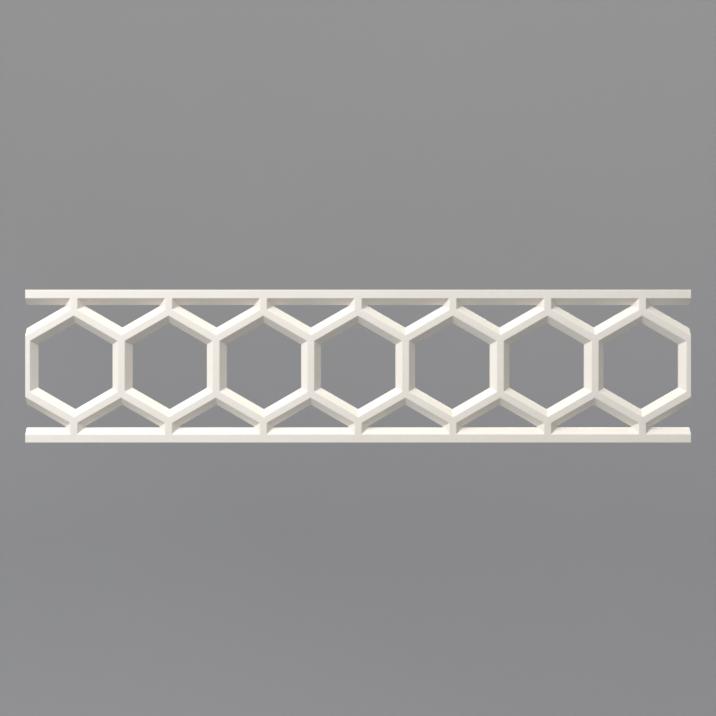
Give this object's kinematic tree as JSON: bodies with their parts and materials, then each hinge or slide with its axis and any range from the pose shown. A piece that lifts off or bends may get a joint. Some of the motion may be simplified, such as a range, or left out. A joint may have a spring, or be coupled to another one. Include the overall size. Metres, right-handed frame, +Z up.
{
  "type": "polyurethane moulding",
  "caption": "Pierced flat wall moulding: a row of hexagons between straight rails, with chamfered bars and square-cut ends.",
  "frame": {"origin": "on the back of the lower rail, halfway along the length and halfway up the rail's back, where the moulding is fixed to its wall", "axes": "+X along the length, +Y into the wall, out of the flat back, +Z up from the lower rail to the upper one; the front faces -Y"},
  "size_m": [1.05, 0.015, 0.2413],
  "materials": {
    "primed_polyurethane": "factory primed, warm white, silky matt"
  },
  "bodies": {
    "root": {"hexagon_moulding": "primed_polyurethane"}
  },
  "joints": []
}
